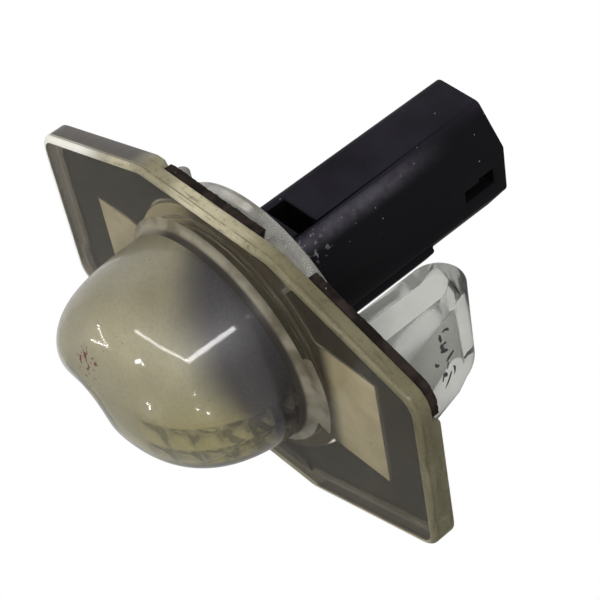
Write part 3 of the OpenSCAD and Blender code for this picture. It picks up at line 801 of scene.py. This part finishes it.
# Rear housing
# One moulding of clear polycarbonate with its edges broken, welded behind the lens:
# base plate, round boss, key, fixed hook and folded spring latch.
def softened(node, name, width):
    """A copy of a moulding's solid with its sharp edges rounded."""
    bm = bmesh.new()
    bm.from_mesh(cad[node].data)
    bmesh.ops.remove_doubles(bm, verts=bm.verts, dist=0.002 * MM)
    bmesh.ops.dissolve_limit(bm, angle_limit=math.radians(0.6), verts=bm.verts, edges=bm.edges)
    bm.verts.index_update()
    piece = new_piece(name, [v.co for v in bm.verts], [[v.index for v in f.verts] for f in bm.faces])
    bm.free()
    rounding = piece.modifiers.new("rounding", "BEVEL")
    rounding.width = width
    rounding.segments = 3
    rounding.limit_method = "ANGLE"
    rounding.angle_limit = math.radians(35)
    rounding.use_clamp_overlap = False
    depsgraph = bpy.context.evaluated_depsgraph_get()
    rounded = bpy.data.meshes.new_from_object(piece.evaluated_get(depsgraph))
    piece.modifiers.clear()
    piece.data = rounded
    shade_smooth(piece, 30)
    return piece


housing = softened("rear_housing", "rear_housing_moulding", 0.2 * MM)

# Base plate, boss, key and hook: rubbed and lightly scratched
worn_plastic, shader, tree = new_material("scratched_clear_plastic")
tint = use_group(tree, cloudy_tint, Size=300.0, Pale=(0.68, 0.67, 0.61, 1), Deep=(0.38, 0.36, 0.31, 1))
colour_by(tree, shader, tint["Color"])
roughen_by(tree, shader, tint["Mask"], 0.10, 0.22)
set_plain(shader, IOR=1.35, Transmission_Weight=0.76)
scored = use_group(tree, scratches, Size=1500.0, Thin=0.02)["Mask"]
raise_by(tree, shader, scored, 0.004 * MM)

# Latch: still clear, greyer towards its foot
clear_plastic, shader, tree = new_material("clear_plastic")
tint = use_group(tree, cloudy_tint, Size=160.0, Pale=(0.56, 0.56, 0.53, 1), Deep=(0.47, 0.47, 0.44, 1))
near_foot = spread_over(tree, own_xyz(tree)["Z"], 11 * MM, 2 * MM, 0.0, 0.55)
dirt = use_group(tree, specks, Size=800.0, Share=0.04, Reach=0.12)["Mask"]
foot_grey = (0.26, 0.26, 0.245, 1)
dirt_grey = (0.1, 0.1, 0.1, 1)
colour_by(tree, shader, tint["Color"], (near_foot, foot_grey), (dirt, dirt_grey))
roughen_by(tree, shader, tint["Mask"], 0.06, 0.10)
set_plain(shader, IOR=1.16, Transmission_Weight=0.94)

# Front of the base plate: clouded white on its pads, with painted shade in dark brown beside the dome
clouded_plastic, shader, tree = new_material("clouded_base_plastic")
tint = use_group(tree, cloudy_tint, Size=220.0, Pale=(0.96, 0.96, 0.90, 1), Deep=(0.78, 0.77, 0.70, 1))
plate_at = own_xyz(tree)
shade_beside_dome = overlap(
    tree,
    spread_over(tree, plate_at["X"], -8 * MM, -3 * MM),
    spread_over(tree, plate_at["X"], 17.5 * MM, 15.0 * MM),
)
painted_shade_brown = (0.035, 0.027, 0.018, 1)
colour_by(tree, shader, tint["Color"], (shade_beside_dome, painted_shade_brown))
set_plain(shader, Roughness=0.4, IOR=1.3, Transmission_Weight=0.12)

for plastic in (worn_plastic, clear_plastic, clouded_plastic):
    housing.data.materials.append(plastic)
latch_from_x = 15 * MM
plate_from_z = -1 * MM
front_facing = -0.8
for poly in housing.data.polygons:
    if poly.center.x > latch_from_x and poly.center.z > 0:
        poly.material_index = 1
    elif poly.normal.z < front_facing and poly.center.z < plate_from_z:
        poly.material_index = 2
    else:
        poly.material_index = 0
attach(housing, "root")
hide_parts("rear_housing")


# Marks on the latch
# Worn strokes of black felt-pen ink on the latch's outer leg, drawn by hand. They
# spell nothing.
def tube_faces(first, rows, sides):
    """The faces of a closed tube: quads between its rows of points, and both ends."""
    faces = []
    for k in range(rows - 1):
        a, b = first + k * sides, first + (k + 1) * sides
        for m in range(sides):
            n = (m + 1) % sides
            faces.append((a + m, a + n, b + n, b + m))
    last = first + (rows - 1) * sides
    faces.append(tuple(first + m for m in range(sides - 1, -1, -1)))
    faces.append(tuple(last + m for m in range(sides)))
    return faces


leg_top = Vector((21.7, 0, 12.45)) * MM
leg_foot = Vector((23.6, 0, 3.8)) * MM
leg_down = (leg_foot - leg_top).normalized()
leg_out = Vector((-leg_down.z, 0, leg_down.x))
ink_lift = 0.018 * MM
ink_half_t = 0.012 * MM
stroke_draw = random.Random(7)
stroke_count = 13
stroke_sides = 6
stroke_steps = 9
first_across = -5.0
marks_w = 6.4
marks_down = 3.4
ink_points = []
ink_faces = []
for i in range(stroke_count):
    across = (first_across + marks_w * i / (stroke_count - 1) + stroke_draw.uniform(-0.4, 0.4)) * MM
    down = (marks_down + stroke_draw.uniform(-1.6, 1.6)) * MM
    heading = stroke_draw.uniform(0, math.pi)
    bend = stroke_draw.uniform(-1.6, 1.6)
    length = stroke_draw.uniform(0.9, 2.2) * MM
    half_w = stroke_draw.uniform(0.17, 0.30) * MM
    ink_faces += tube_faces(len(ink_points), stroke_steps, stroke_sides)
    pen = Vector((across, down))
    for k in range(stroke_steps):
        t = k / (stroke_steps - 1)
        turn = heading + bend * (t - 0.5)
        side = Vector((-math.sin(turn), math.cos(turn)))
        press = half_w * math.sqrt(max(0.02, 4 * t * (1 - t))) * stroke_draw.uniform(0.75, 1.1)
        for m in range(stroke_sides):
            a = 2 * math.pi * m / stroke_sides
            at = pen + side * press * math.cos(a)
            lift = ink_lift + ink_half_t * math.sin(a)
            ink_points.append(leg_top + leg_down * at.y + Vector((0, at.x, 0)) + leg_out * lift)
        pen = pen + Vector((math.cos(turn), math.sin(turn))) * length / (stroke_steps - 1)
pen_marks = new_piece("pen_marks", ink_points, ink_faces)
ink, shader, tree = new_material("worn_black_ink")
tint = use_group(tree, cloudy_tint, Size=2500.0, Pale=(0.02, 0.02, 0.025, 1), Deep=(0.005, 0.005, 0.006, 1))
colour_by(tree, shader, tint["Color"])
set_plain(shader, Roughness=0.55)
pen_marks.data.materials.append(ink)
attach(pen_marks, "root")

# Gasket
# Closed-cell foam, cut flat from sheet, with soft wavy edges. It lies between the
# flange and the car's panel, with a notch for the key.
foam_rear = 0.0
foam_front = foam_rear - foam_t
foam_inset = 0.4 * MM
foam_rim_gap = 0.3 * MM
foam_gap = 0.35 * MM
foam_round = 0.18 * MM
base_r = 16.7 * MM + foam_gap
hook_pad = Vector((24.2, 5.6)) * MM + Vector((foam_gap, foam_gap))
latch_pad = Vector((24.0, 8.0)) * MM + Vector((foam_gap, foam_gap))
notch_from = math.radians(-69.5)
notch_to = math.radians(-49.5)
outer_wave = 0.16 * MM
outer_slow = 0.55
outer_quick = 2.1
inner_wave = 0.10 * MM
inner_slow = 0.6
sag_d = 0.035 * MM
sag_slow = 0.5
foam_steps = 900
foam_across = 6


def cut_out_reach(az):
    """Distance from the boss axis to the gasket's inner edge."""
    c, s = math.cos(az), abs(math.sin(az))
    pad = latch_pad if c > 0 else hook_pad
    to_pad = min(pad.x / max(abs(c), 1e-6), pad.y / max(s, 1e-6))
    return max(base_r, to_pad)


def face_outward(piece):
    """Turns all faces of a closed piece outward."""
    bm = bmesh.new()
    bm.from_mesh(piece.data)
    bmesh.ops.recalc_face_normals(bm, faces=bm.faces)
    bm.to_mesh(piece.data)
    bm.free()


free_outline = rounded_outline(foam_inset, corner_r)
rim_outline = rounded_outline(rim_t + foam_rim_gap, corner_r)
boss_axis = Vector((0, 0))
foam_points = []
for i in range(foam_steps + 1):
    az = notch_to + (notch_from + 2 * math.pi - notch_to) * i / foam_steps
    d = Vector((math.cos(az), math.sin(az), 0))
    outer = outline_hit(free_outline, boss_axis, d.to_2d()).length
    past_rim_end = abs(outer * d.x) > rim_end_x - foam_rim_gap
    beside_rim = outer * d.y * (1 if d.x < 0 else -1) < rim_end_y + foam_rim_gap
    if past_rim_end and beside_rim:
        outer = outline_hit(rim_outline, boss_axis, d.to_2d()).length
    inner = cut_out_reach(az)
    at = d * outer / MM
    outer += outer_wave * (noise.noise(at * outer_slow) + noise.noise(at * outer_quick))
    inner += inner_wave * noise.noise(d * inner / MM * inner_slow)
    between = outer - inner - 2 * foam_round
    steps = [foam_round + between * k / foam_across for k in range(foam_across + 1)]
    loop = [(outer, foam_front + foam_round), (outer, foam_rear - foam_round)]
    loop += [(outer - step, foam_rear) for step in steps]
    loop += [(inner, foam_rear - foam_round), (inner, foam_front + foam_round)]
    loop += [(inner + step, foam_front) for step in steps]
    for r, z in loop:
        p = d * r
        sag = sag_d * (1 + noise.noise(p / MM * sag_slow)) if z == foam_rear else 0.0
        foam_points.append((p.x, p.y, z - sag))
gasket = new_piece("foam_gasket", foam_points, tube_faces(0, foam_steps + 1, len(loop)))
face_outward(gasket)
shade_smooth(gasket, 50)
foam, shader, tree = new_material("black_foam")
tint = use_group(tree, cloudy_tint, Size=500.0, Pale=(0.022, 0.016, 0.013, 1), Deep=(0.008, 0.006, 0.005, 1))
dust = use_group(tree, specks, Size=1500.0, Share=0.08, Reach=0.2)["Mask"]
dust_brown = (0.12, 0.10, 0.08, 1)
colour_by(tree, shader, tint["Color"], (dust, dust_brown))
set_plain(shader, Roughness=0.92, Specular_IOR_Level=0.06)
raise_by(tree, shader, noise_at(tree, 1100.0, 3), 0.006 * MM)
gasket.data.materials.append(foam)
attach(gasket, "root")
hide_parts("gasket")

# Bulb holder
# One black glass-filled moulding that turns into the housing, with a fine grained
# skin, softly rounded edges and dust.
holder = softened("bulb_holder", "bulb_holder_moulding", 0.3 * MM)

# Painted highlight along the seam towards the boss, painted shade on the facets beyond it, scuffed near the
# boss
holder_plastic, shader, tree = new_material("grained_black_plastic")
holder_pale = (0.0115, 0.0103, 0.0148, 1)
holder_deep = (0.0070, 0.0063, 0.0090, 1)
tint = use_group(tree, cloudy_tint, Size=110.0, Pale=holder_pale, Deep=holder_deep)
holder_at = own_xyz(tree)
past_seam = measure(tree, "DOT_PRODUCT", (0.585, 0.811, 0.0))
# Painted shade: the facets past the seam are made darker
shaded_facets = overlap(
    tree,
    spread_over(tree, past_seam, -5.75 * MM, -5.45 * MM),
    spread_over(tree, holder_at["X"], 1.5 * MM, 2.8 * MM),
)
# Painted highlight: paler along the seam, fading away from it, strongest towards the boss
painted_highlight = overlap(
    tree, shaded_facets,
    spread_over(tree, past_seam, -2.6 * MM, -5.5 * MM),
    spread_over(tree, holder_at["Z"], 31 * MM, 17 * MM),
    spread_over(tree, noise_at(tree, 700.0, 4), 0.30, 0.62, 0.55, 1.0),
)
scuff_middle = Vector((3.6, -7.8, 8.5)) * MM
scuffs = overlap(
    tree,
    spread_over(tree, measure(tree, "DISTANCE", scuff_middle), 3.2 * MM, 1.2 * MM),
    spread_over(tree, noise_at(tree, 1500.0, 4), 0.56, 0.66),
)
dust = use_group(tree, specks, Size=1200.0, Share=0.09, Reach=0.12)["Mask"]
facet_shade_black = (0.0034, 0.0031, 0.0040, 1)
highlight_grey = (0.075, 0.070, 0.085, 1)
scuff_grey = (0.16, 0.15, 0.17, 1)
dust_grey = (0.20, 0.19, 0.20, 1)
colour_by(
    tree, shader, tint["Color"],
    (shaded_facets, facet_shade_black),
    (painted_highlight, highlight_grey),
    (scuffs, scuff_grey),
    (dust, dust_grey),
)
roughen_by(tree, shader, tint["Mask"], 0.42, 0.50)
set_plain(shader, Specular_IOR_Level=0.04)
raise_by(tree, shader, noise_at(tree, 3200.0, 3), 0.03 * MM)
holder.data.materials.append(holder_plastic)

# The inside of the two windows: painted shade, near black
shadow_plastic, shader, tree = new_material("painted_shade_black_plastic")
shadow_pale = (0.0008, 0.0008, 0.0009, 1)
shadow_deep = (0.0004, 0.0004, 0.0005, 1)
tint = use_group(tree, cloudy_tint, Size=300.0, Pale=shadow_pale, Deep=shadow_deep)
colour_by(tree, shader, tint["Color"])
set_plain(shader, Roughness=0.7, Specular_IOR_Level=0.05)
holder.data.materials.append(shadow_plastic)
lock_window = (Vector((3.5, -1.6, 29.2)) * MM, Vector((5.25, 1.0, 34.2)) * MM)
contact_window = (Vector((-4.0, -8.65, 7.4)) * MM, Vector((1.7, -3.0, 10.2)) * MM)
for poly in holder.data.polygons:
    for low, high in (lock_window, contact_window):
        if all(low[i] < poly.center[i] < high[i] for i in range(3)):
            poly.material_index = 1
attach(holder, "root")
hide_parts("bulb_holder")


# Sealing ring
# Moulded rubber, squeezed between the holder's flange and the housing, with the dull
# bloom that such rubber gets.
def paint(nodes, material):
    """Gives CAD nodes a material in place of their own."""
    for node in nodes:
        cad[node].data.materials.clear()
        cad[node].data.materials.append(material)


seal_rubber, shader, tree = new_material("seal_rubber")
tint = use_group(tree, cloudy_tint, Size=600.0, Pale=(0.035, 0.035, 0.036, 1), Deep=(0.016, 0.016, 0.017, 1))
colour_by(tree, shader, tint["Color"])
set_plain(shader, Roughness=0.6)
raise_by(tree, shader, noise_at(tree, 2500.0, 3), 0.02 * MM)
paint(["holder_seal"], seal_rubber)

# Bulb
# Blown glass with a pinched wedge base. A fine tungsten coil hangs between two lead
# wires that run out through the pinch.
clear_glass, shader, tree = new_material("bulb_glass")
tint = use_group(tree, cloudy_tint, Size=200.0, Pale=(0.96, 0.97, 0.97, 1), Deep=(0.88, 0.90, 0.90, 1))
colour_by(tree, shader, tint["Color"])
set_plain(shader, Roughness=0.02, IOR=1.5, Transmission_Weight=1.0)
raise_by(tree, shader, noise_at(tree, 300.0, 2), 0.03 * MM)
paint(["bulb_glass"], clear_glass)

wire, shader, tree = new_material("drawn_wire")
tint = use_group(tree, cloudy_tint, Size=900.0, Pale=(0.60, 0.58, 0.55, 1), Deep=(0.42, 0.40, 0.37, 1))
colour_by(tree, shader, tint["Color"])
set_plain(shader, Metallic=1.0, Roughness=0.35)
raise_by(tree, shader, use_group(tree, scratches, Size=3000.0, Thin=0.05)["Mask"], 0.01 * MM)
paint(["bulb_lead_left", "bulb_lead_right"], wire)

coil_low, coil_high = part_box("bulb_filament")
coil_middle = (coil_low + coil_high) / 2
coil_wire_r = 0.055 * MM
coil_turn_r = (coil_high.z - coil_low.z) / 2 - coil_wire_r
coil_l = coil_high.y - coil_low.y - 2 * coil_wire_r
coil_turns = 14
coil_sides = 6
steps_a_turn = 18
coil_steps = coil_turns * steps_a_turn
coil_line = []
for i in range(coil_steps + 1):
    a = 2 * math.pi * coil_turns * i / coil_steps
    y = coil_low.y + coil_wire_r + coil_l * i / coil_steps
    coil_line.append(
        Vector((coil_middle.x + coil_turn_r * math.cos(a), y, coil_middle.z + coil_turn_r * math.sin(a)))
    )
coil_points = []
for i, p in enumerate(coil_line):
    along = (coil_line[min(i + 1, coil_steps)] - coil_line[max(i - 1, 0)]).normalized()
    out = (p - Vector((coil_middle.x, p.y, coil_middle.z))).normalized()
    side = along.cross(out).normalized()
    for m in range(coil_sides):
        b = 2 * math.pi * m / coil_sides
        coil_points.append(p + (out * math.cos(b) + side * math.sin(b)) * coil_wire_r)
filament = new_piece("filament_coil", coil_points, tube_faces(0, coil_steps + 1, coil_sides))
face_outward(filament)
shade_smooth(filament, 180)
tungsten, shader, tree = new_material("dark_tungsten")
tint = use_group(tree, cloudy_tint, Size=1500.0, Pale=(0.36, 0.35, 0.34, 1), Deep=(0.22, 0.21, 0.22, 1))
colour_by(tree, shader, tint["Color"])
set_plain(shader, Metallic=1.0, Roughness=0.4)
filament.data.materials.append(tungsten)
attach(filament, "root")
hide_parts("bulb_filament")

# Contacts
# Stamped sheet brass: a clip over the wedge base, folded on into a flat pin. Dulled,
# with darker patches and fine marks from the press.
brass, shader, tree = new_material("dull_brass")
tint = use_group(tree, cloudy_tint, Size=450.0, Pale=(0.66, 0.52, 0.25, 1), Deep=(0.40, 0.29, 0.12, 1))
colour_by(tree, shader, tint["Color"])
roughen_by(tree, shader, tint["Mask"], 0.28, 0.45)
set_plain(shader, Metallic=1.0)
raise_by(tree, shader, use_group(tree, scratches, Size=2200.0, Thin=0.04)["Mask"], 0.01 * MM)
paint(["contact_left", "contact_right"], brass)
